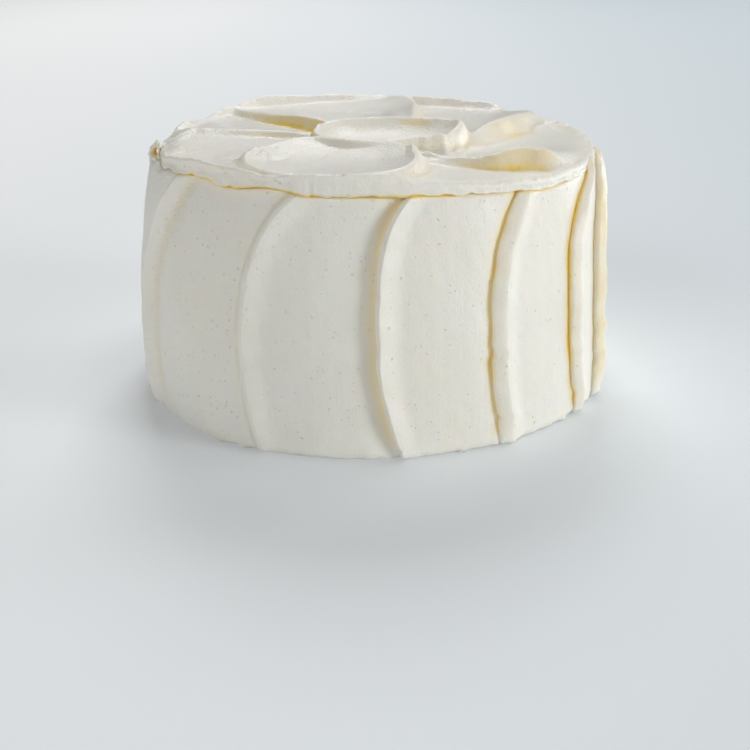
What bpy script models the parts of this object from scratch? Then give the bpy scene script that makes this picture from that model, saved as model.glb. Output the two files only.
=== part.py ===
"""A round layer cake under a thick coat of vanilla buttercream, spread with a palette knife.

The cake is uncut, so it is one solid. The knife went up the side in tall overlapping strokes. Each stroke
ends on its left in a raised lip that leans over towards the top. On the top the knife made wide swipes round
a small boat-shaped hollow at the centre, and the icing is pushed a little over the edge in a rim.

The origin is the middle of the flat foot, +Z is up, and -Y is the front.
"""

import math

import bmesh
import bpy
import numpy as np

# Every size below is in millimetres and every angle in degrees. Angles run from the front to the right.
MILLIMETRE = 0.001

# The upright outline of the coat: widest a little above the foot, and narrower towards the rim.
WIDEST_RADIUS = 115.6
WIDEST_HEIGHT = 25.0
TAPER = 17.4
TAPER_HEIGHT = 121.0
LEAN_RIGHT = 1.6
FOOT_ROUNDING = 1.5

# The strokes up the side, from the left of the front round to the right. Each has the angle of its lip at the
# waist, how far the lip leans to the right at the rim and at the foot, how suddenly it leans, the height of
# the lip, and the width of the lip's outer slope.
WAIST_HEIGHT = 45.0
LEAN_HEIGHT = 112.0
SIDE_STROKES = (
    {"angle": -69.2, "rim_lean": 16.6, "foot_lean": 1.0, "bend": 2.2, "lip": 2.6, "slope": 1.6},
    {"angle": -30.0, "rim_lean": 12.0, "foot_lean": 3.6, "bend": 3.0, "lip": 2.0, "slope": 3.6},
    {"angle": 0.8, "rim_lean": 7.2, "foot_lean": 5.0, "bend": 5.4, "lip": 3.4, "slope": 1.4},
    {"angle": 25.6, "rim_lean": 8.6, "foot_lean": 3.2, "bend": 3.2, "lip": 3.3, "slope": 1.6},
    {"angle": 49.2, "rim_lean": 14.6, "foot_lean": 4.6, "bend": 4.6, "lip": 3.3, "slope": 1.6},
    {"angle": 62.6, "rim_lean": 14.6, "foot_lean": 3.0, "bend": 3.2, "lip": 3.4, "slope": 1.8},
    {"angle": 86.0, "rim_lean": 12.0, "foot_lean": 3.0, "bend": 4.0, "lip": 1.6, "slope": 1.6},
    {"angle": 110.0, "rim_lean": 12.0, "foot_lean": 4.5, "bend": 4.4, "lip": 2.8, "slope": 1.6},
    {"angle": 137.0, "rim_lean": 16.0, "foot_lean": 3.2, "bend": 3.6, "lip": 2.6, "slope": 1.8},
    {"angle": 165.0, "rim_lean": 11.0, "foot_lean": 5.0, "bend": 5.0, "lip": 3.0, "slope": 1.6},
    {"angle": 195.0, "rim_lean": 14.0, "foot_lean": 2.6, "bend": 3.4, "lip": 2.7, "slope": 2.0},
    {"angle": 226.0, "rim_lean": 12.0, "foot_lean": 4.2, "bend": 4.4, "lip": 2.3, "slope": 2.2},
    {"angle": 256.0, "rim_lean": 15.0, "foot_lean": 2.6, "bend": 4.0, "lip": 2.6, "slope": 2.0},
)
LIP_WIDTH = 11.0
FOOT_FADE_HEIGHT = 14.0
RIM_FADE_HEIGHT = 9.0
LIP_LEFT_AT_FOOT = 0.45
LIP_LEFT_AT_RIM = 0.55
PRESSED_DEPTH = 0.9
PRESSED_WIDTH = 7.0

# How much thinner the coat is than its mean outline, at angles round the cake.
COAT_TRIM = (
    (-120, 0.6), (-95, 0.8), (-79, 0.8), (-68, 1.6), (-58, 1.2), (-45, 0.0), (68, 0.0), (78, 1.3),
    (90, 1.6), (110, 0.8), (200, 0.3),
)

# The rim of the top icing, at angles round the cake: how far out its face stands, the height of its crest,
# and the height of its lower edge.
RIM_FACE = (
    (-78, 101.0), (-62, 103.5), (-48, 106.4), (-30, 107.6), (35, 107.8), (55, 107.0), (70, 105.2),
    (90, 104.0), (140, 104.0), (200, 104.4), (240, 102.0), (262, 100.2),
)
RIM_CREST = (
    (-66, 117.2), (-56, 119.4), (-47, 121.3), (-32, 120.9), (-23, 118.5), (-17, 120.1), (4, 120.6),
    (10, 117.2), (28, 114.8), (41, 113.3), (58, 113.6), (76, 114.4), (90, 115.6), (110, 116.2),
    (131, 115.4), (143, 120.2), (170, 121.4), (196, 123.0), (215, 124.6), (229, 122.0), (241, 118.4),
    (252, 120.4), (266, 117.0), (280, 116.0),
)
RIM_UNDERSIDE = (
    (-66, 112.6), (-55, 113.0), (-44, 115.1), (-35, 112.4), (-22, 114.0), (-14, 111.5), (8, 111.5),
    (28, 109.9), (42, 107.9), (56, 108.6), (70, 112.2), (95, 112.6), (120, 110.4), (150, 113.0),
    (185, 112.0), (215, 114.8), (240, 112.0), (262, 113.4),
)
RIM_UNDERCUT = 0.4
RIM_ROUNDING = 2.4
RIM_INNER_WIDTH = 8.0

# The knife's swipes over the top, oldest first. Each follows a line, and has at each point of it the half
# width, the height of the floor, the height of the lips above the floor to the left and to the right, and
# how far out those lips take to fall to the older icing. The lip and its fall at the start and at the end
# come last.
TOP_LEVEL = 116.5
TOP_SWIPES = (
    {
        "name": "front right",
        "line": ((0, -84), (44, -78), (78, -48), (96, 0)),
        "half_widths": (32, 32, 30, 26),
        "floors": (116.2, 114.4, 112.8, 113.6),
        "left_lips": (0.5, 0.5, 0.5, 0.5),
        "right_lips": (0.5, 0.5, 0.5, 0.5),
        "left_walls": (6, 6, 6, 6),
        "right_walls": (6, 6, 6, 6),
        "ends": (0.5, 6, 1.0, 6),
    },
    {
        "name": "right",
        "line": ((22, -28), (38, -22), (52, -18), (66, -16), (78, -10), (88, 12)),
        "half_widths": (22, 38, 47, 48, 44, 34),
        "floors": (118.4, 116.2, 115.2, 114.8, 114.2, 113.2),
        "left_lips": (1.0, 1.0, 1.0, 1.0, 1.0, 3.0),
        "right_lips": (1.8, 1.8, 0.4, 8.6, 4.4, 3.0),
        "left_walls": (4, 4, 4, 4, 4, 4),
        "right_walls": (2.5, 2.5, 4, 5, 8, 9),
        "ends": (1.0, 4, 2.0, 4),
    },
    {
        "name": "back right",
        "line": ((28, 0), (36, 34), (42, 74)),
        "half_widths": (25, 35, 45),
        "floors": (117.2, 116.2, 116.4),
        "left_lips": (1.0, 1.0, 1.0),
        "right_lips": (4.0, 6.0, 3.0),
        "left_walls": (3, 3, 3),
        "right_walls": (7, 9, 8),
        "ends": (1.0, 4, 3.0, 4),
    },
    {
        "name": "left",
        "line": ((-94, 40), (-60, 27), (-22, 12)),
        "half_widths": (31, 25, 23),
        "floors": (118.0, 117.2, 117.4),
        "left_lips": (1.0, 1.0, 1.0),
        "right_lips": (1.5, 1.8, 1.6),
        "left_walls": (4, 4, 4),
        "right_walls": (6, 6, 6),
        "ends": (2.5, 6, 1.0, 4),
    },
    {
        "name": "back",
        "line": ((-27, 86), (-14, 57), (-2, 18)),
        "half_widths": (47, 37, 25),
        "floors": (119.6, 118.0, 118.4),
        "left_lips": (4.4, 5.4, 3.6),
        "right_lips": (1.4, 4.4, 5.2),
        "left_walls": (4, 4, 4),
        "right_walls": (2, 2, 2),
        "ends": (2.0, 4, 3.0, 2),
    },
    {
        "name": "front left",
        "line": ((-92, -30), (-66, -32), (-30, -36)),
        "half_widths": (34, 45, 38),
        "floors": (118.0, 116.6, 116.2),
        "left_lips": (1.5, 2.4, 2.6),
        "right_lips": (0.6, 0.6, 0.6),
        "left_walls": (6, 6, 4),
        "right_walls": (5, 5, 5),
        "ends": (1.0, 4, 3.0, 4),
    },
    {
        "name": "front",
        "line": ((-20, -64), (-15, -68), (-9, -72)),
        "half_widths": (34, 33, 30),
        "floors": (117.0, 117.0, 117.2),
        "left_lips": (5.4, 5.6, 5.0),
        "right_lips": (2.5, 2.5, 2.5),
        "left_walls": (4, 4, 3),
        "right_walls": (4, 4, 4),
        "ends": (4.2, 4, 0.6, 12),
    },
    {
        "name": "centre",
        "line": ((-4, -18), (9, -18), (22, -17)),
        "half_widths": (22, 23, 20),
        "floors": (118.0, 117.4, 117.8),
        "left_lips": (7.0, 7.8, 7.4),
        "right_lips": (4.6, 5.2, 5.6),
        "left_walls": (2.5, 2.5, 2.5),
        "right_walls": (3, 3, 4),
        "ends": (5.5, 3, 7.6, 4),
    },
)
SWIPE_HOLLOW = 2.6
SWIPE_BLEND = 0.8
SWIPE_END = 0.08
SAMPLES_PER_SWIPE = 80

# How finely the coat is faceted before the decimation, and how many faces stay.
COLUMNS_PER_STROKE = 15
COLUMNS_UP_A_LIP = 2
COLUMN_CROWDING = 1.35
SIDE_ROWS = 34
RIM_ROWS = 8
TOP_RINGS = 72
FACES_KEPT = 11600

ICING = (0.93, 0.88, 0.76, 1.0)


def smooth_step(value):
    """0 below 0, 1 above 1, and smooth in between."""
    value = np.clip(value, 0.0, 1.0)
    return value * value * (3.0 - 2.0 * value)


def round_the_cake(angle, points):
    """A value given at some angles, carried smoothly all the way round."""
    angles, values = (np.array(column, float) for column in zip(*points))
    angles = np.append(angles, angles[0] + 360.0)
    values = np.append(values, values[0])
    place = (np.asarray(angle, float) - angles[0]) % 360.0 + angles[0]
    after = np.clip(np.searchsorted(angles, place, side="right"), 1, len(angles) - 1)
    share = (place - angles[after - 1]) / (angles[after] - angles[after - 1])
    return values[after - 1] + (values[after] - values[after - 1]) * smooth_step(share)


def coat_radius(height):
    """The coat's mean radius at a height above the foot."""
    return WIDEST_RADIUS - TAPER * ((height - WIDEST_HEIGHT) / TAPER_HEIGHT) ** 2


def lip_angle(stroke, height):
    """Where the lip of a side stroke stands at a height."""
    above = np.clip((height - WAIST_HEIGHT) / (LEAN_HEIGHT - WAIST_HEIGHT), 0.0, 1.1)
    below = np.clip((WAIST_HEIGHT - height) / WAIST_HEIGHT, 0.0, 1.0)
    return stroke["angle"] + stroke["rim_lean"] * above ** stroke["bend"] + stroke["foot_lean"] * below**1.6


def stroke_relief(stroke, from_lip, to_next, height):
    """How far the icing stands out from the mean coat, between one lip and the next. Distances are in mm."""
    behind = np.clip((from_lip - stroke["slope"]) / LIP_WIDTH, 0.0, 1.0)
    at_foot = 1.0 - smooth_step(height / FOOT_FADE_HEIGHT)
    at_rim = smooth_step(1.0 + (height - LEAN_HEIGHT) / RIM_FADE_HEIGHT)
    left = (1.0 - (1.0 - LIP_LEFT_AT_FOOT) * at_foot) * (1.0 - (1.0 - LIP_LEFT_AT_RIM) * at_rim)
    lip = stroke["lip"] * left * (1.0 - behind) ** 2.4
    up_the_lip = smooth_step(from_lip / stroke["slope"])
    pressed = np.maximum(1.0 - up_the_lip, np.exp(-((to_next / PRESSED_WIDTH) ** 2)))
    return lip * up_the_lip - PRESSED_DEPTH * pressed


def swipe_line(swipe):
    """Points evenly spaced along a smooth curve through the given ones, with all their sizes."""
    columns = ("half_widths", "floors", "left_lips", "right_lips", "left_walls", "right_walls")
    given = np.column_stack([np.array(swipe["line"], float)] + [swipe[column] for column in columns])
    steps = np.linspace(0.0, len(given) - 1.0, SAMPLES_PER_SWIPE)
    first = np.clip(steps.astype(int), 0, len(given) - 2)
    share = (steps - first)[:, None]
    padded = np.vstack([2 * given[0] - given[1], given, 2 * given[-1] - given[-2]])
    before, here, there, beyond = (padded[first + shift] for shift in range(4))
    return 0.5 * (
        2 * here
        + (there - before) * share
        + (2 * before - 5 * here + 4 * there - beyond) * share**2
        + (3 * here - before - 3 * there + beyond) * share**3
    )


def swipe_surface(swipe, x, y):
    """The height that a swipe gives each point, and how much of the point is covered by it."""
    line = swipe_line(swipe)
    along = np.gradient(line[:, :2], axis=0)
    along /= np.hypot(along[:, 0], along[:, 1])[:, None]
    share = np.linspace(0.0, 1.0, len(line))[:, None]
    inside = line[None, :, 2] - np.hypot(x[:, None] - line[None, :, 0], y[:, None] - line[None, :, 1])
    weight = np.exp((inside - inside.max(axis=1)[:, None]) / SWIPE_BLEND)
    weight /= weight.sum(axis=1)[:, None]
    here = weight @ np.hstack([line, along, share])
    half_width, floor, left_lip, right_lip, left_wall, right_wall = here.T[2:8]
    ahead, share = here.T[8:10], here.T[10]
    dx = x - here[:, 0]
    dy = y - here[:, 1]
    away = np.maximum(np.hypot(dx, dy), 1e-6)
    forward = (dx * ahead[0] + dy * ahead[1]) / away
    leftward = smooth_step(0.5 + (dy * ahead[0] - dx * ahead[1]) / away)
    lip = right_lip + (left_lip - right_lip) * leftward
    wall = right_wall + (left_wall - right_wall) * leftward
    start_lip, start_wall, end_lip, end_wall = swipe["ends"]
    past_start = np.clip(1.0 - share / SWIPE_END, 0.0, 1.0) * np.clip(-forward, 0.0, 1.0) ** 2
    past_end = np.clip(1.0 - (1.0 - share) / SWIPE_END, 0.0, 1.0) * np.clip(forward, 0.0, 1.0) ** 2
    lip += (start_lip - lip) * past_start + (end_lip - lip) * past_end
    wall += (start_wall - wall) * past_start + (end_wall - wall) * past_end
    across = np.clip(away / half_width, 0.0, 1.0)
    return floor + lip * across**SWIPE_HOLLOW, smooth_step(1.0 + (half_width - away) / wall)


def top_height(x, y):
    """The icing's height over the top, inside the rim."""
    height = np.full(len(x), TOP_LEVEL)
    for swipe in TOP_SWIPES:
        surface, cover = swipe_surface(swipe, x, y)
        height += (surface - height) * cover
    return height


def columns_at(height):
    """The angles and the relief of the mesh columns at a height. The columns lie close beside each lip."""
    angles, reliefs = [], []
    for stroke, following in zip(SIDE_STROKES, SIDE_STROKES[1:] + SIDE_STROKES[:1]):
        lip = lip_angle(stroke, height)
        turn = 360.0 if following is SIDE_STROKES[0] else 0.0
        width = lip_angle(following, height) + turn - lip
        span = math.radians(width) * coat_radius(height)
        column = np.arange(COLUMNS_PER_STROKE)
        from_lip = stroke["slope"] * np.minimum(column / COLUMNS_UP_A_LIP, 1.0)
        behind = np.clip((column - COLUMNS_UP_A_LIP) / (COLUMNS_PER_STROKE - COLUMNS_UP_A_LIP), 0.0, 1.0)
        from_lip += (span - stroke["slope"]) * behind**COLUMN_CROWDING
        angles.append(lip + np.degrees(from_lip / coat_radius(height)))
        reliefs.append(stroke_relief(stroke, from_lip, span - from_lip, height))
    return np.concatenate(angles), np.concatenate(reliefs)


def side_rings():
    """Rings of points from the foot up to the rim's underside."""
    rings = []
    angles, _ = columns_at(LEAN_HEIGHT)
    underside = round_the_cake(angles, RIM_UNDERSIDE)
    for row in range(SIDE_ROWS + 1):
        share = row / SIDE_ROWS
        mean_height = share * LEAN_HEIGHT
        angles, relief = columns_at(mean_height)
        height = share * underside
        edge = FOOT_ROUNDING * (1.0 - smooth_step(mean_height / (2.0 * FOOT_ROUNDING)))
        radius = coat_radius(height) + relief - edge - round_the_cake(angles, COAT_TRIM)
        rings.append((angles, radius, height))
    return rings


def rim_rings(angles):
    """Rings of points round the rim's face, from its underside to its crest."""
    underside = round_the_cake(angles, RIM_UNDERSIDE)
    crest = round_the_cake(angles, RIM_CREST)
    face = round_the_cake(angles, RIM_FACE)
    rings = [(angles, face - RIM_UNDERCUT, underside + RIM_UNDERCUT / 2)]
    for row in range(1, RIM_ROWS + 1):
        turn = row / RIM_ROWS * math.pi / 2
        radius = face - RIM_ROUNDING * (1.0 - math.cos(turn))
        rings.append((angles, radius, underside + (crest - underside) * math.sin(turn)))
    return rings


def top_rings(angles, crest_radius):
    """Rings of points over the top, from the rim's crest to the centre. They turn even towards the centre."""
    crest = round_the_cake(angles, RIM_CREST)
    even = angles[0] + np.arange(len(angles)) * 360.0 / len(angles)
    rings = []
    for ring in range(1, TOP_RINGS):
        share = 1.0 - ring / TOP_RINGS
        turned = even + (angles - even) * share**3
        radius = crest_radius * share
        x = radius * np.sin(np.radians(turned)) + LEAN_RIGHT
        y = -radius * np.cos(np.radians(turned))
        inner = smooth_step((crest_radius - radius) / RIM_INNER_WIDTH) ** 0.6
        floor = top_height(x, y)
        rings.append((turned, radius, crest + (floor - crest) * inner))
    return rings


def make_icing_material():
    """Warm white buttercream with a soft shine."""
    material = bpy.data.materials.new("vanilla_buttercream")
    material.use_nodes = True
    shader = material.node_tree.nodes["Principled BSDF"]
    shader.inputs["Base Color"].default_value = ICING
    shader.inputs["Roughness"].default_value = 0.45
    shader.inputs["Metallic"].default_value = 0.0
    shader.inputs["Subsurface Weight"].default_value = 0.3
    return material


def make_cake():
    """The whole cake as one closed solid."""
    rings = side_rings()
    rings += rim_rings(rings[-1][0])
    rings += top_rings(rings[-1][0], rings[-1][1])
    mesh = bpy.data.meshes.new("vanilla_cake")
    shape = bmesh.new()
    loops = []
    for angles, radius, height in rings:
        height = np.broadcast_to(height, angles.shape)
        lean = LEAN_RIGHT * (np.minimum(height, LEAN_HEIGHT) / LEAN_HEIGHT) ** 3
        x = (radius * np.sin(np.radians(angles)) + lean) * MILLIMETRE
        y = -radius * np.cos(np.radians(angles)) * MILLIMETRE
        loops.append([shape.verts.new(point) for point in zip(x, y, height * MILLIMETRE)])
    count = len(loops[0])
    for lower, upper in zip(loops, loops[1:]):
        for column in range(count):
            after = (column + 1) % count
            shape.faces.new((lower[column], lower[after], upper[after], upper[column]))
    shape.faces.new(reversed(loops[0]))
    middle = float(top_height(np.array([LEAN_RIGHT]), np.zeros(1))[0])
    middle = shape.verts.new((LEAN_RIGHT * MILLIMETRE, 0.0, middle * MILLIMETRE))
    for column in range(count):
        shape.faces.new((loops[-1][column], loops[-1][(column + 1) % count], middle))
    bmesh.ops.triangulate(shape, faces=shape.faces[:])
    whole = len(shape.faces)
    shape.to_mesh(mesh)
    shape.free()
    cake = bpy.data.objects.new("vanilla_cake", mesh)
    bpy.context.scene.collection.objects.link(cake)
    mesh.materials.append(make_icing_material())
    mesh.shade_smooth()
    fewer = cake.modifiers.new("fewer_faces", "DECIMATE")
    fewer.ratio = FACES_KEPT / whole
    return cake


for old in list(bpy.data.objects):
    bpy.data.objects.remove(old, do_unlink=True)
make_cake()
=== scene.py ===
import math

import bmesh
import bpy
import mathutils
import numpy as np
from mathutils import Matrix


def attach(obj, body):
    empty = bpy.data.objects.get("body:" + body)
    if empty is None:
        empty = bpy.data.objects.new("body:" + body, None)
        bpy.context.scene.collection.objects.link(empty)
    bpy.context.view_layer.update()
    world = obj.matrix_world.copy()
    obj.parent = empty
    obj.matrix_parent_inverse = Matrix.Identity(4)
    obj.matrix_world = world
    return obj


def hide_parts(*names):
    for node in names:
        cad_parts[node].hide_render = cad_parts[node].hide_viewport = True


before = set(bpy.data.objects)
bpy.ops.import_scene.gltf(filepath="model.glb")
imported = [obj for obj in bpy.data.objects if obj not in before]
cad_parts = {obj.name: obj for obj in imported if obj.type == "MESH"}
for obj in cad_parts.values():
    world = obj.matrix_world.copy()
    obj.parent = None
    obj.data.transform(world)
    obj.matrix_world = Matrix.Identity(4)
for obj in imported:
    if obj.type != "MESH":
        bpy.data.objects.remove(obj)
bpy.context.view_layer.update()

# A round vanilla cake in thick buttercream. The icing is three pieces, the coat round the side, the swirled
# top with its rim and a small curl beside it, and all of them take the place of the one solid cake.
# Lengths in the dictionaries are millimetres. Angles are degrees from the front (-Y) round to the right.
mm = 0.001
cakeNode = "vanilla_cake"


# Small helpers

def smoothStep(value):
    value = np.clip(value, 0.0, 1.0)
    return value * value * (3.0 - 2.0 * value)


def aroundCake(angle, points):  # a value given at some angles, carried smoothly all the way round
    angles, values = (np.array(column, float) for column in zip(*points))
    angles, values = np.append(angles, angles[0] + 360.0), np.append(values, values[0])
    place = (np.asarray(angle, float) - angles[0]) % 360.0 + angles[0]
    after = np.clip(np.searchsorted(angles, place, side="right"), 1, len(angles) - 1)
    share = (place - angles[after - 1]) / (angles[after] - angles[after - 1])
    return values[after - 1] + (values[after] - values[after - 1]) * smoothStep(share)


def lumps(x, y, size, seed):  # smooth random hills about this many mm apart, mostly between -1 and 1
    draw = np.random.default_rng(seed)
    total = np.zeros(np.broadcast(x, y).shape)
    for wave in range(10):
        turn = draw.uniform(0.0, math.tau)
        length = size * draw.uniform(0.7, 1.6)
        total += np.sin((x * math.cos(turn) + y * math.sin(turn)) * math.tau / length + draw.uniform(0.0, math.tau))
    return total / 3.2


def freshMesh(name):  # the primitive that was just added, named, and the only thing selected
    piece = bpy.context.active_object
    piece.name = name
    piece.data.name = name
    return piece


def readPoints(piece):
    points = np.empty(len(piece.data.vertices) * 3)
    piece.data.vertices.foreach_get("co", points)
    return points.reshape(-1, 3)


def writePoints(piece, x, y, z):
    piece.data.vertices.foreach_set("co", (np.column_stack([x, y, z]) * mm).ravel())
    piece.data.update()


def keepAmount(piece, name, amount):  # one number a point, for the material to read
    kept = piece.data.attributes.new(name, "FLOAT", "POINT")
    kept.data.foreach_set("value", np.asarray(amount, np.float32))


# Buttercream: satin cream white, with painted amber shade where folds hide from the light

buttercream = {
    "cream": (0.915, 0.891, 0.815, 1.0),
    "warmCream": (0.895, 0.862, 0.755, 1.0),   # broad cloudy patches
    "paintedFoldAmber": (0.980, 0.685, 0.140, 1.0),       # painted amber shade and glow where light would soak in at the bottom of a fold
    "speckColour": (0.62, 0.36, 0.12, 1.0),
    "roughness": 0.37,
    "shine": 0.42,
    "softness": 0.0028,          # how far light travels in the icing, metres
    "softShare": 0.35,
    "cloudSize": 22.0,           # patches in a metre
    # cells in a metre, widest bubble as a share of a cell, and the share of cells that have one
    "bubbles": (190.0, 0.14, 0.62),
    "fineBubbles": (420.0, 0.25, 0.42),
    "specks": (85.0, 0.07, 0.16),
    # the coarse pits get painted shade inside them; the specks keep their own brown
    "bubblePaintedShade": 0.14, "speckTint": 0.45,
    "bubbleDepth": 0.00045, "fineBubbleDepth": 0.00034,           # metres
    "streakSize": 260.0, "streakLength": 0.06, "streakDepth": 0.00022,
    "grainSize": 900.0, "grainDepth": 0.00024,
    "tearSize": 700.0, "tearDepth": 0.0009,
    "bumpStrength": 0.9,
}


def addNode(tree, kind, x, y, **settings):
    made = tree.nodes.new(kind)
    made.location = (x, y)
    for setting, value in settings.items():
        setattr(made, setting, value)
    return made


def addMath(tree, operation, x, y, first, second):
    made = addNode(tree, "ShaderNodeMath", x, y, operation=operation)
    for socket, value in zip(made.inputs, (first, second)):
        if isinstance(value, (int, float)):
            socket.default_value = value
        else:
            tree.links.new(value, socket)
    return made.outputs[0]


# source between start and end, as start to end value
def addRamp(tree, x, y, source, start, end, startValue=0.0, endValue=1.0):
    made = addNode(tree, "ShaderNodeMapRange", x, y)
    made.interpolation_type = "SMOOTHSTEP"
    tree.links.new(source, made.inputs["Value"])
    for name, value in (("From Min", start), ("From Max", end), ("To Min", startValue), ("To Max", endValue)):
        made.inputs[name].default_value = value
    return made.outputs[0]


def addBubbles(tree, y, coordinates, pattern):  # round pits in some of the cells of a pattern
    cells, widest, kept = pattern
    cellsNode = addNode(tree, "ShaderNodeTexVoronoi", -1300, y)
    cellsNode.inputs["Scale"].default_value = cells
    tree.links.new(coordinates, cellsNode.inputs["Vector"])
    split = addNode(tree, "ShaderNodeSeparateColor", -1100, y - 120)
    tree.links.new(cellsNode.outputs["Color"], split.inputs["Color"])
    chosen = addRamp(tree, -900, y - 120, split.outputs[0], kept, kept - 0.02)
    size = addRamp(tree, -900, y + 120, split.outputs[1], 0.0, 1.0, widest * 0.45, widest)
    near = addMath(tree, "DIVIDE", -700, y + 60, cellsNode.outputs["Distance"], size)
    hollow = addRamp(tree, -500, y + 60, near, 1.0, 0.45)
    return addMath(tree, "MULTIPLY", -320, y, hollow, chosen)


def mixColours(tree, x, y, factor, first, second):
    made = addNode(tree, "ShaderNodeMix", x, y, data_type="RGBA")
    tree.links.new(factor, made.inputs[0])
    for socket, colour in ((made.inputs[6], first), (made.inputs[7], second)):
        if isinstance(colour, tuple):
            socket.default_value = colour
        else:
            tree.links.new(colour, socket)
    return made.outputs[2]


def makeButtercream(look):
    material = bpy.data.materials.new("vanilla_buttercream_icing")
    material.use_nodes = True
    tree = material.node_tree
    shader = tree.nodes["Principled BSDF"]
    place = addNode(tree, "ShaderNodeTexCoord", -1900, 0).outputs["Object"]

    clouds = addNode(tree, "ShaderNodeTexNoise", -1300, 700)
    clouds.inputs["Scale"].default_value = look["cloudSize"]
    clouds.inputs["Detail"].default_value = 3.0
    tree.links.new(place, clouds.inputs["Vector"])
    cloudy = addRamp(tree, -1100, 700, clouds.outputs["Fac"], 0.40, 0.72, 0.0, 0.55)
    paintedFoldShade = addNode(tree, "ShaderNodeAttribute", -1300, 450, attribute_name="paintedFoldShade")
    torn = addNode(tree, "ShaderNodeAttribute", -1300, -1500, attribute_name="torn")
    coarse = addBubbles(tree, 150, place, look["bubbles"])
    fine = addBubbles(tree, -250, place, look["fineBubbles"])
    specks = addBubbles(tree, 1000, place, look["specks"])

    colour = mixColours(tree, -300, 700, cloudy, look["cream"], look["warmCream"])
    # painted shade: the insides of the coarse pits are tinted amber
    pitPaintedShade = addMath(tree, "MULTIPLY", -150, 300, coarse, look["bubblePaintedShade"])
    # painted amber shade and glow in the folds, together with the painted pit shade
    paintedShadeAmount = addMath(tree, "MAXIMUM", 0, 450, paintedFoldShade.outputs["Fac"], pitPaintedShade)
    colour = mixColours(tree, 150, 650, paintedShadeAmount, colour, look["paintedFoldAmber"])
    speckAmount = addMath(tree, "MULTIPLY", 150, 950, specks, look["speckTint"])
    colour = mixColours(tree, 350, 650, speckAmount, colour, look["speckColour"])
    tree.links.new(colour, shader.inputs["Base Color"])

    # the knife leaves streaks that run up the side; torn icing is rough all over
    stretch = addNode(tree, "ShaderNodeMapping", -1600, -700)
    stretch.inputs["Scale"].default_value = (1.0, 1.0, look["streakLength"])
    tree.links.new(place, stretch.inputs["Vector"])
    streaks = addNode(tree, "ShaderNodeTexNoise", -1300, -700)
    streaks.inputs["Scale"].default_value = look["streakSize"]
    tree.links.new(stretch.outputs["Vector"], streaks.inputs["Vector"])
    grain = addNode(tree, "ShaderNodeTexNoise", -1300, -950)
    grain.inputs["Scale"].default_value = look["grainSize"]
    grain.inputs["Detail"].default_value = 3.0
    tree.links.new(place, grain.inputs["Vector"])
    ragged = addNode(tree, "ShaderNodeTexNoise", -1300, -1200)
    ragged.inputs["Scale"].default_value = look["tearSize"]
    ragged.inputs["Detail"].default_value = 4.0
    tree.links.new(place, ragged.inputs["Vector"])

    height = addMath(tree, "MULTIPLY", -150, -700, streaks.outputs["Fac"], look["streakDepth"])
    rough = addMath(tree, "MULTIPLY", -150, -950, grain.outputs["Fac"], look["grainDepth"])
    height = addMath(tree, "ADD", 0, -800, height, rough)
    tear = addMath(tree, "MULTIPLY", -150, -1200, ragged.outputs["Fac"], torn.outputs["Fac"])
    tear = addMath(tree, "MULTIPLY", 0, -1200, tear, look["tearDepth"])
    height = addMath(tree, "ADD", 150, -900, height, tear)
    pit = addMath(tree, "MULTIPLY", 0, 100, coarse, look["bubbleDepth"])
    height = addMath(tree, "SUBTRACT", 300, -600, height, pit)
    pit = addMath(tree, "MULTIPLY", 0, -300, fine, look["fineBubbleDepth"])
    height = addMath(tree, "SUBTRACT", 450, -500, height, pit)
    bump = addNode(tree, "ShaderNodeBump", 600, -500)
    bump.inputs["Distance"].default_value = 1.0
    bump.inputs["Strength"].default_value = look["bumpStrength"]
    tree.links.new(height, bump.inputs["Height"])
    tree.links.new(bump.outputs["Normal"], shader.inputs["Normal"])
    smoothest, dullest = look["roughness"] - 0.05, look["roughness"] + 0.08
    dullness = addRamp(tree, 600, 0, clouds.outputs["Fac"], 0.3, 0.7, smoothest, dullest)
    tree.links.new(dullness, shader.inputs["Roughness"])

    shader.inputs["Specular IOR Level"].default_value = look["shine"]
    shader.inputs["Subsurface Weight"].default_value = look["softShare"]
    shader.inputs["Subsurface Radius"].default_value = (1.0, 0.62, 0.30)
    shader.inputs["Subsurface Scale"].default_value = look["softness"]
    shader.location = (900, 300)
    tree.nodes["Material Output"].location = (1200, 300)
    return material


icing = makeButtercream(buttercream)
print("buttercream material made")


# The coat round the side, in tall overlapping knife strokes

sideCoat = {
    "widestRadius": 115.6, "widestHeight": 25.0,      # the coat is widest a little above the foot
    "taper": 17.4, "taperHeight": 121.0,              # and narrower towards the rim
    "leanRight": 1.6,                                 # the top sits this far right of the foot
    "waistHeight": 45.0, "leanHeight": 112.0,         # the lips stand upright here, and lean most here
    "lipWidth": 11.0,                                 # a lip fades out this far behind its crest
    "footFade": 14.0, "footLip": 0.45,                # lips are lower near the foot, down to this share
    "rimFade": 9.0, "rimLip": 0.55,                   # and near the rim
    "footRounding": 1.3,
    "pressedDepth": 0.9, "pressedWidth": 7.0,         # the icing is pressed in beside the next lip
    "hollow": 0.45,                                   # the blade leaves each stroke a little hollow
    "grooveBehind": 15.0, "grooveWidth": 6.0,         # the hollow that some strokes have behind their lip
    # width of the rough band in the first stroke's groove, which also gets a little painted shade
    "pittedShadedWidth": 5.0,
    # how much thinner the coat is than its mean outline
    "thinner": [(-120, 0.6), (-95, 0.8), (-79, 0.8), (-68, 1.6), (-58, 1.2), (-45, 0.0),
                (68, 0.0), (78, 1.3), (90, 1.6), (110, 0.8), (200, 0.3)],
    "underRim": 94.0,                                 # the coat turns in this far under the top icing
    "columnsPerStroke": 56, "rows": 99,
}
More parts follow.
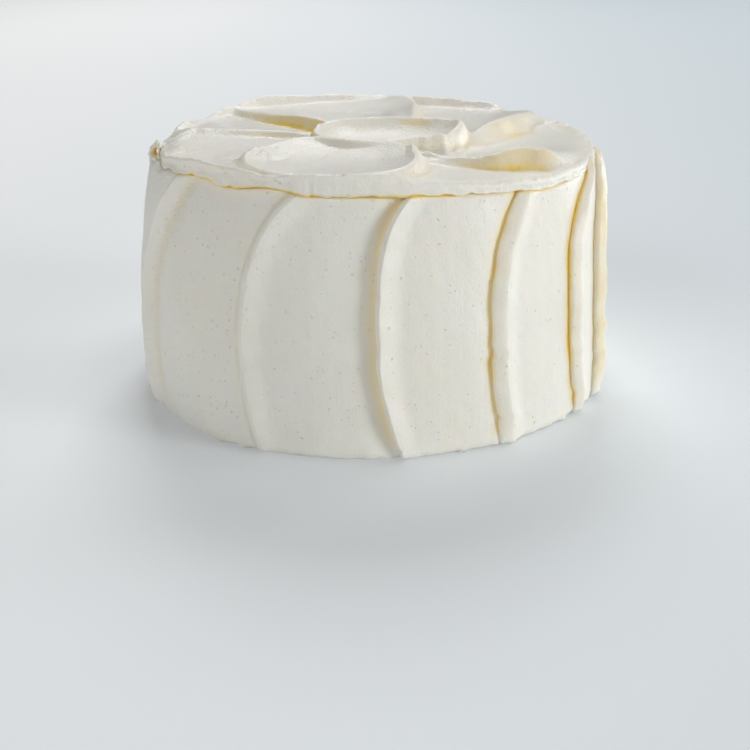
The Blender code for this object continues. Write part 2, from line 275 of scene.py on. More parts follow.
# Lip angle at the waist, its lean at rim and foot, how sudden that is, lip height, width and overhang of its
# face, how much painted amber shade lies in the crease beside it and how far that reaches. Some have a groove
# behind the lip, an own depth pressed in beside it, or painted shade on the whole face.
sideStrokes = [
    {"angle": -69.2, "rimLean": 16.6, "footLean": 1.0, "bend": 2.2,
     "lip": 2.7, "face": 2.2, "over": 0.4, "paintedGlow": 0.25, "reach": 2.0, "groove": 1.1},
    {"angle": -30.0, "rimLean": 12.0, "footLean": 3.6, "bend": 3.0,
     "lip": 2.1, "face": 4.2, "over": 0.0, "paintedGlow": 0.12, "reach": 3.0},
    {"angle": 0.8, "rimLean": 7.2, "footLean": 5.0, "bend": 5.4,
     "lip": 3.9, "face": 1.0, "over": 0.7, "paintedGlow": 0.45, "reach": 4.5, "pressed": 2.1},
    {"angle": 25.6, "rimLean": 8.6, "footLean": 3.2, "bend": 3.2,
     "lip": 3.3, "face": 5.5, "over": 0.9, "paintedGlow": 1.00, "reach": 2.0, "paintedFaceShade": 0.05},
    {"angle": 49.2, "rimLean": 14.6, "footLean": 4.6, "bend": 4.6,
     "lip": 3.3, "face": 4.6, "over": 0.9, "paintedGlow": 1.20, "reach": 2.3, "paintedFaceShade": 0.08},
    {"angle": 62.6, "rimLean": 14.6, "footLean": 3.0, "bend": 3.2,
     "lip": 3.8, "face": 5.0, "over": 0.9, "paintedGlow": 0.42, "reach": 1.2, "paintedFaceShade": 0.34},
    {"angle": 86.0, "rimLean": 12.0, "footLean": 3.0, "bend": 4.0,
     "lip": 1.6, "face": 3.0, "over": 0.5, "paintedGlow": 0.60, "reach": 1.8},
    {"angle": 110.0, "rimLean": 12.0, "footLean": 4.5, "bend": 4.4,
     "lip": 2.8, "face": 4.0, "over": 0.7, "paintedGlow": 0.60, "reach": 2.4},
    {"angle": 137.0, "rimLean": 16.0, "footLean": 3.2, "bend": 3.6,
     "lip": 2.6, "face": 1.8, "over": 0.5, "paintedGlow": 0.50, "reach": 3.4},
    {"angle": 165.0, "rimLean": 11.0, "footLean": 5.0, "bend": 5.0,
     "lip": 3.0, "face": 4.6, "over": 0.8, "paintedGlow": 0.70, "reach": 2.0},
    {"angle": 195.0, "rimLean": 14.0, "footLean": 2.6, "bend": 3.4,
     "lip": 2.7, "face": 2.2, "over": 0.6, "paintedGlow": 0.50, "reach": 3.0},
    {"angle": 226.0, "rimLean": 12.0, "footLean": 4.2, "bend": 4.4,
     "lip": 2.3, "face": 4.6, "over": 0.3, "paintedGlow": 0.35, "reach": 2.6},
    {"angle": 256.0, "rimLean": 15.0, "footLean": 2.6, "bend": 4.0,
     "lip": 2.6, "face": 2.0, "over": 0.5, "paintedGlow": 0.40, "reach": 2.4},
]
nicks = [   # places where a lip is torn back: stroke, height, how far, and the size of the tear
    {"stroke": 3, "height": 44.0, "back": 1.1, "size": 2.6},
    {"stroke": 3, "height": 14.0, "back": 0.9, "size": 1.8},
    {"stroke": 5, "height": 22.0, "back": 1.2, "size": 2.4},
    {"stroke": 4, "height": 12.0, "back": 0.8, "size": 2.2},
    {"stroke": 9, "height": 60.0, "back": 1.0, "size": 2.8},
    {"stroke": 11, "height": 31.0, "back": 0.8, "size": 2.2},
]
smears = [  # icing pushed out at the foot: angle, half width, how far out and how high
    (-39.5, 2.3, 1.9, 2.2), (-36.0, 2.0, 1.2, 1.6), (-30.0, 1.4, 1.4, 1.8), (-27.0, 1.0, 0.8, 1.3),
    (-12.0, 0.5, 0.7, 1.0), (2.5, 1.2, 1.1, 1.8), (5.5, 0.5, 0.9, 1.2), (19.5, 0.6, 1.2, 1.3),
    (27.5, 1.6, 1.3, 1.7), (31.5, 1.1, 1.0, 1.4), (49.0, 0.9, 1.4, 2.2), (63.0, 1.1, 1.2, 2.0),
    (69.0, 1.3, 1.3, 1.8), (91.0, 1.5, 1.4, 2.0), (118.0, 1.2, 1.1, 1.6), (142.0, 2.1, 1.6, 2.0),
    (171.0, 1.0, 1.3, 1.5), (188.0, 2.4, 1.5, 2.1), (214.0, 0.9, 1.1, 1.4), (236.0, 1.7, 1.5, 1.9),
    (268.0, 1.2, 1.2, 1.6), (283.0, 1.5, 0.9, 1.4),
]
rim = {     # the top icing's edge, at angles round the cake
    "face": [(-78, 101.0), (-62, 103.5), (-48, 106.4), (-30, 107.6), (35, 107.8), (55, 107.0), (70, 105.2),
             (90, 104.0), (140, 104.0), (200, 104.4), (240, 102.0), (262, 100.2)],
    "crest": [(-66, 117.2), (-56, 119.4), (-47, 121.3), (-32, 120.9), (-23, 118.5), (-17, 120.1), (4, 120.6),
              (10, 117.2), (28, 114.8), (41, 113.3), (58, 113.6), (76, 114.4), (90, 115.6), (110, 116.2),
              (131, 115.4), (143, 120.2), (170, 121.4), (196, 123.0), (215, 124.6), (229, 122.0), (241, 118.4),
              (252, 120.4), (266, 117.0), (280, 116.0)],
    "underside": [(-66, 112.6), (-55, 113.0), (-44, 115.1), (-35, 112.4), (-22, 114.0), (-14, 111.5), (8, 111.5),
                  (28, 109.9), (42, 107.9), (56, 108.6), (70, 112.2), (95, 112.6), (120, 110.4), (150, 113.0),
                  (185, 112.0), (215, 114.8), (240, 112.0), (262, 113.4)],
    # how far the side coat reaches above that lower edge
    "overlap": [(-100, -2.0), (-80, -2.6), (-68, -1.6), (-58, 0.9), (55, 0.9), (75, 1.2), (110, 0.4),
                (150, 0.0), (200, 0.0), (235, -1.0)],
    "rounding": [(-75, 2.0), (-52, 1.0), (4, 1.0), (13, 2.4), (60, 3.0), (90, 2.6), (150, 1.6), (240, 1.6)],
    "innerWidth": [(-75, 7.0), (-50, 4.5), (4, 4.5), (14, 8.0), (70, 8.0), (120, 6.0), (240, 6.0)],
    # how much painted amber shade lies along the rim's lower edge, at angles round the cake
    "paintedGlow": [(-62, 0.2), (-50, 0.5), (-41, 1.3), (-33, 0.8), (-26, 0.5), (-20, 1.4), (-16, 1.0), (-8, 0.7), (4, 1.1),
             (14, 1.1), (22, 0.5), (35, 0.8), (50, 0.45), (64, 0.25), (90, 0.2), (150, 0.4), (220, 0.4)],
    "rows": 14,
}


def coatRadius(height):
    aboveWidest = (height - sideCoat["widestHeight"]) / sideCoat["taperHeight"]
    return sideCoat["widestRadius"] - sideCoat["taper"] * aboveWidest ** 2


def lipAngle(stroke, height):
    above = np.clip((height - sideCoat["waistHeight"]) / (sideCoat["leanHeight"] - sideCoat["waistHeight"]), 0.0, 1.1)
    below = np.clip(1.0 - height / sideCoat["waistHeight"], 0.0, 1.0)
    straight = stroke["angle"] + stroke["rimLean"] * above ** stroke["bend"] + stroke["footLean"] * below ** 1.6
    seed = int(stroke["angle"]) + 400
    wander = 0.15 * lumps(height, 0.0, 24.0, seed) + 0.035 * lumps(height, 0.0, 6.0, seed + 1)
    number = sideStrokes.index(stroke)
    for nick in nicks:
        if nick["stroke"] == number:
            wander = wander + nick["back"] / 2.0 * np.exp(-((height - nick["height"]) / nick["size"]) ** 4)
    return straight + wander


def strokeProfile(stroke, following, column, height, top):
    # across one stroke: distance right of its lip, height over the mean coat, and the painted fold shade there
    columns = sideCoat["columnsPerStroke"]
    faceColumns = columns // 4
    radius = coatRadius(height)
    turn = 360.0 if following is sideStrokes[0] else 0.0
    span = np.radians(lipAngle(following, height) + turn - lipAngle(stroke, height)) * radius
    seed = int(stroke["angle"]) + 700
    weakFoot = sideCoat["footLip"] + (1.0 - sideCoat["footLip"]) * smoothStep(height / sideCoat["footFade"])
    weakRim = 1.0 - (1.0 - sideCoat["rimLip"]) * smoothStep(1.0 - (top - height) / sideCoat["rimFade"])
    lip = stroke["lip"] * weakFoot * weakRim * (1.0 + 0.09 * lumps(height, 0.0, 14.0, seed))
    over = stroke["over"] * weakFoot * (1.0 + 0.2 * lumps(height, 0.0, 9.0, seed + 1))

    up = np.clip(column / faceColumns, 0.0, 1.0)
    behind = np.clip((column - faceColumns) / (columns - faceColumns), 0.0, 1.0)
    onPanel = behind > 0
    across = stroke["face"] * (1.0 - np.cos(up * math.pi / 2)) - over * np.sin(np.minimum(up * 1.6, 1.0) * math.pi)
    across = across + (span - stroke["face"]) * behind ** 1.5
    fade = np.clip((across - stroke["face"]) / sideCoat["lipWidth"], 0.0, 1.0)
    toNext = np.maximum(span - across, 0.0)
    pressed = following.get("pressed", sideCoat["pressedDepth"]) * np.exp(-((toNext / sideCoat["pressedWidth"]) ** 2))
    hollow = sideCoat["hollow"] * np.sin(np.clip(across / span, 0.0, 1.0) * math.pi)
    panel = lip * (1.0 - fade ** 1.4) ** 2.6 - pressed * onPanel - hollow * onPanel
    fromGroove = (across - sideCoat["grooveBehind"]) / sideCoat["grooveWidth"]
    panel -= stroke.get("groove", 0.0) * np.exp(-(fromGroove ** 2)) * weakFoot
    faceFoot = stroke.get("pressed", sideCoat["pressedDepth"])
    face = -faceFoot + (lip + faceFoot) * np.sin(up * math.pi / 2)
    relief = np.where(onPanel, panel, face)

    # painted amber shade in the crease beside the next lip, and low on this lip's face that turns from the light
    besideNext = following["paintedGlow"] * np.exp(-((toNext / following["reach"]) ** 2)) * onPanel
    lowOnFace, highOnFace = 1.0 - smoothStep(up / 0.4), 1.0 - smoothStep((up - 0.5) / 0.5)
    onFace = stroke["paintedGlow"] * (0.88 * lowOnFace + 0.12 * highOnFace)
    onFace = np.maximum(onFace, stroke.get("paintedFaceShade", 0.0))
    patchy = 0.85 + 0.22 * lumps(height, 0.0, 22.0, seed + 2)
    paintedFoldShade = np.maximum(besideNext, onFace * ~onPanel) * patchy * smoothStep(height / 10.0)
    return across, relief, np.clip(paintedFoldShade, 0.0, 1.0)


def sideTop(angle):  # how high the side coat reaches: a little over the lower edge of the rim
    return aroundCake(angle, rim["underside"]) + aroundCake(angle, rim["overlap"])


def makeSideCoat():
    count = sideCoat["columnsPerStroke"] * len(sideStrokes)
    rows = sideCoat["rows"]
    bpy.ops.object.select_all(action="DESELECT")
    bpy.ops.mesh.primitive_cylinder_add(vertices=count, radius=1.0, depth=1.0, location=(0.0, 0.0, 0.5))
    piece = freshMesh("buttercream_side")
    bpy.ops.object.transform_apply(location=True, rotation=True, scale=True)
    bpy.ops.object.mode_set(mode="EDIT")
    bpy.ops.mesh.select_mode(type="EDGE")
    bpy.ops.mesh.select_all(action="DESELECT")
    shape = bmesh.from_edit_mesh(piece.data)
    for edge in shape.edges:
        edge.select = abs(edge.verts[0].co.z - edge.verts[1].co.z) > 0.5
    bmesh.update_edit_mesh(piece.data)
    bpy.ops.mesh.subdivide(number_cuts=rows + 1)     # rows up the side, then two that turn in under the top
    bpy.ops.object.mode_set(mode="OBJECT")

    points = readPoints(piece)
    column = np.round(np.degrees(np.arctan2(points[:, 0], -points[:, 1])) / 360.0 * count).astype(int) % count
    row = np.round(points[:, 2] * (rows + 2)).astype(int)
    share = np.minimum(row, rows) / rows
    number, column = column // sideCoat["columnsPerStroke"], column % sideCoat["columnsPerStroke"]
    angle, relief, paintedFoldShade = (np.zeros(len(points)) for _ in range(3))
    meanHeight = share * sideCoat["leanHeight"]
    for k, stroke in enumerate(sideStrokes):
        own = number == k
        following = sideStrokes[(k + 1) % len(sideStrokes)]
        across, relief[own], paintedFoldShade[own] = strokeProfile(
            stroke, following, column[own], meanHeight[own], sideCoat["leanHeight"])
        angle[own] = lipAngle(stroke, meanHeight[own]) + np.degrees(across / coatRadius(meanHeight[own]))
    top = sideTop(angle)
    height = share * top
    wrap = angle / 360.0 * math.tau * 112.0
    relief += 0.16 * lumps(wrap, height, 26.0, 51) + 0.06 * lumps(wrap, height, 7.0, 52)
    radius = coatRadius(height) + relief - aroundCake(angle, sideCoat["thinner"])
    radius -= sideCoat["footRounding"] * (1.0 - smoothStep(height / (2.2 * sideCoat["footRounding"])))
    radius += 0.5 * (1.0 - smoothStep(height / 2.5)) * np.maximum(lumps(wrap, 0.0, 6.0, 53), -0.4)
    for middle, half, out, high in smears:
        aside = (angle - middle + 180.0) % 360.0 - 180.0
        ragged = 1.0 + 0.5 * lumps(wrap, height, 2.6, 54)
        radius += out * ragged * np.exp(-(aside / half) ** 4) * np.exp(-(height / high) ** 2)
    underRim = aroundCake(angle, rim["underside"]) - height
    # painted amber shade just under the lower edge of the rim
    paintedFoldShade = np.maximum(paintedFoldShade, aroundCake(angle, rim["paintedGlow"]) * np.exp(-(np.maximum(underRim, 0.0) / 0.75) ** 2))

    shoulder = 2.2 * np.clip((height - top + 2.2) / 2.2, 0.0, 1.0) ** 2
    radius -= shoulder
    firstIn, secondIn = row == rows + 1, row == rows + 2     # in under the top icing
    radius = np.where(firstIn, radius - 3.0, np.where(secondIn, sideCoat["underRim"], radius))
    height = np.where(firstIn, height + 0.2, np.where(secondIn, top - 1.5, height))
    lean = sideCoat["leanRight"] * (np.minimum(height, sideCoat["leanHeight"]) / sideCoat["leanHeight"]) ** 3
    turned = np.radians(angle)
    writePoints(piece, radius * np.sin(turned) + lean, -radius * np.cos(turned), height)
    leftOfLip = (angle < lipAngle(sideStrokes[0], height) + 360.0) & (number == len(sideStrokes) - 1)
    # a rough band runs down the groove of the first stroke, with a little painted warm shade in it
    pastFirst = np.radians(angle - lipAngle(sideStrokes[0], meanHeight)) * radius
    pittedShadedBand = np.exp(-(((pastFirst - sideCoat["grooveBehind"]) / sideCoat["pittedShadedWidth"]) ** 2))
    pittedShadedBand = pittedShadedBand * (number == 0) * smoothStep(height / 20.0)
    torn = np.maximum(np.clip(0.25 * (1.0 - height / 4.0), 0.0, 0.25), 0.7 * pittedShadedBand)
    keepAmount(piece, "torn", np.maximum(torn, np.where(leftOfLip, 0.5, 0.0)))
    keepAmount(piece, "paintedFoldShade", np.maximum(paintedFoldShade, 0.15 * pittedShadedBand))
    return piece


sidePiece = makeSideCoat()
print("side coat:", len(sidePiece.data.polygons), "faces")


# The swirled top and its rim

swirls = {
    "level": 116.5,
    "hollow": 2.6,           # how suddenly a swipe's floor rises to its lips
    "blend": 0.8,            # how softly the stations' widths run together
    "endShare": 0.08,        # share of a swipe's length that its ends take
    "samples": 80,           # points along a swipe
    "cell": 0.5,             # spacing of the map of heights
    "across": 286,           # squares across the top's mesh
    "undercut": 0.12,        # how far lips lean out over what lies below them
    "wander": ((26.0, 0.8), (8.0, 0.07)),    # uneven edges: how long and how far
}
# Oldest first. Each station is x, y, half width, floor, left and right lip above it, and how far out each
# lip takes to fall. The ends are the lip and its fall at the start and at the end.
swipes = [
    # front right
    {"ends": (0.5, 6, 1.0, 6), "stations": [
        (0, -84, 32, 116.2, 0.5, 0.5, 6, 6), (44, -78, 32, 114.4, 0.5, 0.5, 6, 6),
        (78, -48, 30, 112.8, 0.5, 0.5, 6, 6), (96, 0, 26, 113.6, 0.5, 0.5, 6, 6)]},
    # right
    {"ends": (1.0, 6, 2.0, 6), "stations": [
        (22, -28, 22, 118.4, 1.0, 1.6, 7, 4), (34, -23, 35, 116.4, 1.0, 1.9, 8, 4),
        (45, -20, 43, 115.5, 1.0, 0.6, 8, 5), (52, -18, 46, 115.1, 1.0, 4.0, 8, 6),
        (59, -17, 47, 114.9, 1.0, 8.8, 8, 7), (67, -16, 48, 114.8, 1.0, 6.4, 8, 7),
        (73, -13, 47, 114.5, 1.0, 3.2, 8, 8), (80, -6, 43, 114.0, 1.6, 4.2, 7, 9),
        (88, 12, 34, 113.2, 3.0, 3.0, 6, 9)]},
    # back right
    {"ends": (1.0, 9, 3.0, 6), "stations": [
        (28, 0, 25, 117.2, 1.0, 3.6, 6, 10), (36, 34, 35, 116.2, 1.0, 6.0, 6, 11),
        (42, 74, 45, 116.4, 1.0, 3.0, 6, 10)]},
    # left
    {"ends": (2.5, 6, 1.0, 6), "stations": [
        (-94, 40, 31, 118.0, 1.0, 1.5, 6, 6), (-60, 27, 25, 117.2, 1.0, 1.8, 6, 6),
        (-22, 12, 23, 117.4, 1.0, 1.6, 6, 6)]},
    # back
    {"ends": (2.0, 6, 3.0, 5), "stations": [
        (-27, 86, 47, 119.4, 3.0, 1.4, 7, 5), (-14, 60, 37, 118.0, 5.0, 4.4, 7, 5.5),
        (-4, 28, 25, 118.4, 3.6, 5.2, 6, 5.5)]},
    # front left
    {"ends": (1.0, 6, 3.0, 6), "stations": [
        (-92, -30, 34, 118.0, 1.5, 0.6, 7, 6), (-66, -32, 45, 116.6, 2.4, 0.6, 7, 6),
        (-30, -36, 38, 116.2, 2.6, 0.6, 6, 6)]},
    # front
    {"ends": (4.2, 6, 0.2, 14), "stations": [
        (-20, -64, 34, 117.0, 5.4, 2.5, 5, 5), (-15, -68, 33, 117.0, 5.6, 2.5, 5, 5),
        (-9, -72, 30, 117.2, 4.4, 2.5, 6, 5)]},
    # centre
    {"ends": (5.5, 5, 7.4, 7), "stations": [
        (-4, -18, 22, 118.0, 7.0, 4.6, 5, 5), (9, -18, 23, 117.4, 7.8, 5.2, 5, 5),
        (22, -17, 20, 117.8, 7.4, 5.6, 5, 6)]},
]
ridges = [   # narrow folds on top of the swipes: x, y, half width and height along each
    [(50, -9, 4, 0.5), (57, -1, 5, 1.2), (64, 6, 6, 1.8), (71, 13, 6, 1.6), (77, 20, 5, 0.6)],
    [(37, -8, 3.0, 0.5), (41.5, -12, 3.3, 1.6), (42.5, -20, 3.3, 1.8), (41, -30, 3.6, 1.4), (38, -40, 4.0, 1.1),
     (31, -40, 3.8, 1.5), (24, -44, 3.8, 1.6), (19.5, -52, 3.6, 1.4), (18, -60, 3.6, 1.2),
     (19.5, -72, 3.6, 0.9), (23, -83, 3.2, 0.5)],
    [(22, -52, 3.4, 1.4), (26, -53, 3.6, 2.0), (32, -57.5, 3.6, 1.5), (38.5, -62, 3.4, 0.9), (45, -66, 3.2, 0.3)],
    [(-56, -62, 5, 0.7), (-54, -51, 5, 1.3), (-49, -41, 5, 1.3), (-43, -35, 5, 0.9)],
    [(-92, 12, 5, 0.6), (-76, 9, 6, 1.7), (-58, 5, 6, 2.1), (-43, 0, 6, 2.1), (-31, -4, 5, 1.7), (-24, -12, 4, 0.8)],
    [(-6, 66, 4, 0.2), (8, 58, 5, 0.7), (14, 44, 5, 0.8), (14, 30, 4, 0.3)],
]
paintedGlowSpots = [   # folds with painted amber shade and glow: x, y, radius, strength, over the little painted shade that every fold has
    (-48, 34, 30, 0.85), (-22, 14, 12, 0.9), (-48, -3, 18, 0.7), (63, -66, 24, 0.55),
    (88, -44, 18, 0.8), (22, 3, 8, 0.8), (66, 12, 20, 0.22), (-26, -22, 7, 0.8),
    (-40, 66, 30, 0.7), (0, 96, 26, 0.4),
]
tornSpots = [   # where the icing is ragged: x, y, radius and strength
    (-52, -50, 15, 0.9), (28, -42, 14, 0.9), (-26, -22, 6, 0.7), (-90, -32, 14, 0.7),
    (52, -66, 10, 0.3), (-92, 6, 12, 0.5),
]


def smoothPath(stations, samples):  # evenly spread points on a smooth curve through the stations
    given = np.array(stations, float)
    steps = np.linspace(0.0, len(given) - 1.0, samples)
    first = np.clip(steps.astype(int), 0, len(given) - 2)
    share = (steps - first)[:, None]
    padded = np.vstack([2 * given[0] - given[1], given, 2 * given[-1] - given[-2]])
    before, here, there, beyond = (padded[first + shift] for shift in range(4))
    return 0.5 * (2 * here + (there - before) * share + (2 * before - 5 * here + 4 * there - beyond) * share ** 2
                  + (3 * here - before - 3 * there + beyond) * share ** 3)


def swipeSurface(swipe, x, y):
    line = smoothPath(swipe["stations"], swirls["samples"])
    along = np.gradient(line[:, :2], axis=0)
    along /= np.hypot(along[:, 0], along[:, 1])[:, None]
    share = np.linspace(0.0, 1.0, len(line))[:, None]
    inside = line[None, :, 2] - np.hypot(x[:, None] - line[None, :, 0], y[:, None] - line[None, :, 1])
    weight = np.exp((inside - inside.max(axis=1)[:, None]) / swirls["blend"])
    weight /= weight.sum(axis=1)[:, None]
    here = weight @ np.hstack([line, along, share])
    halfWidth, floor, leftLip, rightLip, leftFall, rightFall = here.T[2:8]
    ahead, share = here.T[8:10], here.T[10]
    dx, dy = x - here[:, 0], y - here[:, 1]
    away = np.maximum(np.hypot(dx, dy), 1e-6)
    forward = (dx * ahead[0] + dy * ahead[1]) / away
    leftward = smoothStep(0.5 + (dy * ahead[0] - dx * ahead[1]) / away)
    lip = rightLip + (leftLip - rightLip) * leftward
    fall = rightFall + (leftFall - rightFall) * leftward
    startLip, startFall, endLip, endFall = swipe["ends"]
    pastStart = np.clip(1.0 - share / swirls["endShare"], 0.0, 1.0) * np.clip(-forward, 0.0, 1.0) ** 2
    pastEnd = np.clip(1.0 - (1.0 - share) / swirls["endShare"], 0.0, 1.0) * np.clip(forward, 0.0, 1.0) ** 2
    lip += (startLip - lip) * pastStart + (endLip - lip) * pastEnd
    fall += (startFall - fall) * pastStart + (endFall - fall) * pastEnd
    across = np.clip(away / halfWidth, 0.0, 1.0)
    return floor + lip * across ** swirls["hollow"], smoothStep(1.0 + (halfWidth - away) / fall)


def spotted(x, y, spots):  # the strongest of some round spots with soft edges
    amount = np.zeros(x.shape)
    for spotX, spotY, radius, strength in spots:
        amount = np.maximum(amount, strength * smoothStep(1.4 - np.hypot(x - spotX, y - spotY) / radius))
    return amount


def mapHeights():  # the heights of the top on an even grid of points
    half = 112.0
    steps = np.arange(-half, half + 0.01, swirls["cell"])
    x, y = (flat.ravel() for flat in np.meshgrid(steps, steps, indexing="ij"))
    torn = spotted(x, y, tornSpots)
    shiftX, shiftY = np.zeros(x.shape), np.zeros(x.shape)
    for turn, (size, far) in enumerate(swirls["wander"]):
        shiftX += (far + torn * 0.25) * lumps(x, y, size, 11 + turn)
        shiftY += (far + torn * 0.25) * lumps(x, y, size, 21 + turn)
    height = np.empty(x.shape)
    for start in range(0, len(x), 40000):
        part = slice(start, start + 40000)
        px, py = x[part] + shiftX[part], y[part] + shiftY[part]
        rise = np.full(px.shape, swirls["level"])
        for swipe in swipes:
            surface, cover = swipeSurface(swipe, px, py)
            rise += (surface - rise) * cover
        for ridge in ridges:
            line = smoothPath(ridge, 60)
            near = 1.0 - np.hypot(px[:, None] - line[None, :, 0], py[:, None] - line[None, :, 1]) / line[None, :, 2]
            rise += (smoothStep(near) * line[None, :, 3]).max(axis=1)
        height[part] = rise
    height += 0.10 * lumps(x, y, 15.0, 31) + torn * (0.45 * lumps(x, y, 9.0, 32) + 0.16 * lumps(x, y, 4.0, 33))
    return steps, height.reshape(len(steps), len(steps))


def blurred(heights, reach):  # a soft copy of the map, over this many mm
    cells = int(3 * reach / swirls["cell"])
    bell = np.exp(-0.5 * (np.arange(-cells, cells + 1) * swirls["cell"] / reach) ** 2)
    bell /= bell.sum()
    padded = np.pad(heights, cells, mode="edge")
    padded = np.apply_along_axis(lambda line: np.convolve(line, bell, mode="valid"), 0, padded)
    return np.apply_along_axis(lambda line: np.convolve(line, bell, mode="valid"), 1, padded)


def sample(steps, heights, x, y):  # the map's value between its points
    fx = np.clip((x - steps[0]) / swirls["cell"], 0.0, len(steps) - 1.001)
    fy = np.clip((y - steps[0]) / swirls["cell"], 0.0, len(steps) - 1.001)
    ix, iy = fx.astype(int), fy.astype(int)
    fx, fy = fx - ix, fy - iy
    return ((heights[ix, iy] * (1 - fx) + heights[ix + 1, iy] * fx) * (1 - fy)
            + (heights[ix, iy + 1] * (1 - fx) + heights[ix + 1, iy + 1] * fx) * fy)


def makeTop():
    across, rows = swirls["across"], rim["rows"]
    bpy.ops.object.select_all(action="DESELECT")
    bpy.ops.mesh.primitive_grid_add(x_subdivisions=across, y_subdivisions=across, size=2.0)
    piece = freshMesh("buttercream_top")
    bpy.ops.object.mode_set(mode="EDIT")
    bpy.ops.mesh.select_mode(type="EDGE")
    bpy.ops.mesh.select_all(action="DESELECT")
    shape = bmesh.from_edit_mesh(piece.data)
    for edge in shape.edges:
        edge.select = edge.is_boundary
    bmesh.update_edit_mesh(piece.data)
    for row in range(rows):      # down the rim and in underneath
        bpy.ops.mesh.extrude_region_move(TRANSFORM_OT_translate={"value": (0.0, 0.0, -1.0)})
    bpy.ops.mesh.edge_face_add()
    bpy.ops.mesh.select_all(action="SELECT")
    bpy.ops.mesh.normals_make_consistent(inside=False)
    bpy.ops.object.mode_set(mode="OBJECT")

    points = readPoints(piece)
    u, v = points[:, 0], points[:, 1]
    row = np.round(-points[:, 2]).astype(int)
    wide = np.abs(u) > np.abs(v)        # squares round the middle become circles
    ring = np.where(wide, u, v)
    slant = np.where(wide, v, u) / np.where(ring == 0.0, 1.0, ring) * math.pi / 4
    x = np.where(wide, ring * np.cos(slant), ring * np.sin(slant))
    y = np.where(wide, ring * np.sin(slant), ring * np.cos(slant))
    angle = np.degrees(np.arctan2(x, -y))
    share = np.hypot(x, y)

    roundEdge = angle * 1.9     # about the mm along the rim
    crest = aroundCake(angle, rim["crest"]) + 0.25 * lumps(roundEdge, 0.0, 9.0, 61)
    crest = crest + 0.12 * lumps(roundEdge, 0.0, 3.0, 62)
    under = aroundCake(angle, rim["underside"]) + 0.34 * lumps(roundEdge, 0.0, 9.0, 63)
    under = under + 0.12 * lumps(roundEdge, 0.0, 3.0, 66)
    face = aroundCake(angle, rim["face"])
    rounding = aroundCake(angle, rim["rounding"])
    inner = aroundCake(angle, rim["innerWidth"])
    crestRadius = face - rounding
    radius = share * crestRadius
    turned = np.radians(angle)
    x = radius * np.sin(turned) + sideCoat["leanRight"]
    y = -radius * np.cos(turned)

    steps, heights = mapHeights()
    soft = blurred(heights, 1.3)
    wideSoft = blurred(heights, 5.0)
    slopeX, slopeY = (slope / swirls["cell"] for slope in np.gradient(soft))
    rise = sample(steps, heights, x, y)
    detail = rise - sample(steps, soft, x, y)
    leanOut = np.clip(detail * swirls["undercut"] * 2.2, -1.2, 1.2)
    inward = smoothStep((crestRadius - radius) / inner) ** 0.6
    z = crest + (rise - crest) * inward
    x -= leanOut * np.clip(sample(steps, slopeX, x, y), -1.5, 1.5) * inward
    y -= leanOut * np.clip(sample(steps, slopeY, x, y), -1.5, 1.5) * inward
    # painted amber shade: in hollows, below the softened surface and on steep walls, more at the painted glow spots
    paintedGlowStrength = 0.14 + spotted(x, y, paintedGlowSpots)
    steep = np.hypot(sample(steps, slopeX, x, y), sample(steps, slopeY, x, y))
    paintedFoldShade = smoothStep((-detail - 0.03) / 0.7)
    paintedFoldShade += np.clip((sample(steps, wideSoft, x, y) - rise - 0.4) / 2.4, 0.0, 1.0) * 0.5
    paintedFoldShade += 0.55 * smoothStep((steep - 0.25) / 0.6)
    paintedFoldShade *= paintedGlowStrength * inward

    # the first rows go round the crest, the next down the face, and the last turn in
    turnRows, inRows = 4, 4
    faceRows = rows - turnRows - inRows
    wrap = turned * 107.0
    faceLumps = 0.22 * lumps(wrap, row * 0.9, 9.0, 64) + 0.08 * lumps(wrap, row * 0.9, 3.5, 65)
    bend = np.clip(row / turnRows, 0.0, 1.0) * math.pi / 2
    down = np.clip((row - turnRows) / faceRows, 0.0, 1.0)
    tuck = np.clip((row - turnRows - faceRows) / inRows, 0.0, 1.0)
    tall = np.maximum(crest - rounding - under, 1.0)
    midFace = np.sin(down * math.pi)
    edgeRadius = crestRadius + rounding * np.sin(bend) - 0.35 * midFace + 0.35 * down + faceLumps * midFace
    edgeRadius -= np.where(tuck > 0, 0.5 + (edgeRadius - 92.0) * np.maximum(tuck - 0.25, 0.0) ** 1.3, 0.0)
    gap = np.maximum(under - sideTop(angle), 0.0)      # where the shoulder lies lower, the rim reaches down to it
    reach = np.where(gap > 0.0, -gap - 1.0, 0.0)
    turnedIn = np.where(tuck > 0, -0.25 + 1.4 * tuck + reach, 0.0)
    edgeHeight = crest - rounding * (1.0 - np.cos(bend)) - tall * down + turnedIn
    edgeHeight = np.where(row == rows, 108.0, edgeHeight)
    onEdge = row > 0
    x = np.where(onEdge, edgeRadius * np.sin(turned) + sideCoat["leanRight"], x)
    y = np.where(onEdge, -edgeRadius * np.cos(turned), y)
    z = np.where(onEdge, edgeHeight, z)
    # painted amber shade low on the rim's face and where it turns in underneath
    paintedGlow = aroundCake(angle, rim["paintedGlow"]) * (0.8 + 0.5 * lumps(wrap, 0.0, 14.0, 67))
    paintedFoldShade = np.where(onEdge, paintedGlow * (smoothStep((down - 0.80) / 0.20) * 1.1 + (tuck > 0) * 0.2), paintedFoldShade)
    writePoints(piece, x, y, z)
    keepAmount(piece, "paintedFoldShade", np.clip(paintedFoldShade, 0.0, 1.0))
    keepAmount(piece, "torn", np.maximum(spotted(x, y, tornSpots), 0.38 + 0.15 * lumps(x, y, 30.0, 68)))
    return piece


topPiece = makeTop()
print("swirled top:", len(topPiece.data.polygons), "faces")


# A small curl of icing left standing on the ledge at the left of the rim

leftCurl = {"place": (-99.6, -15.0, 114.0), "ring": 3.3, "thick": 1.9, "narrow": 0.62, "turn": -12.0}


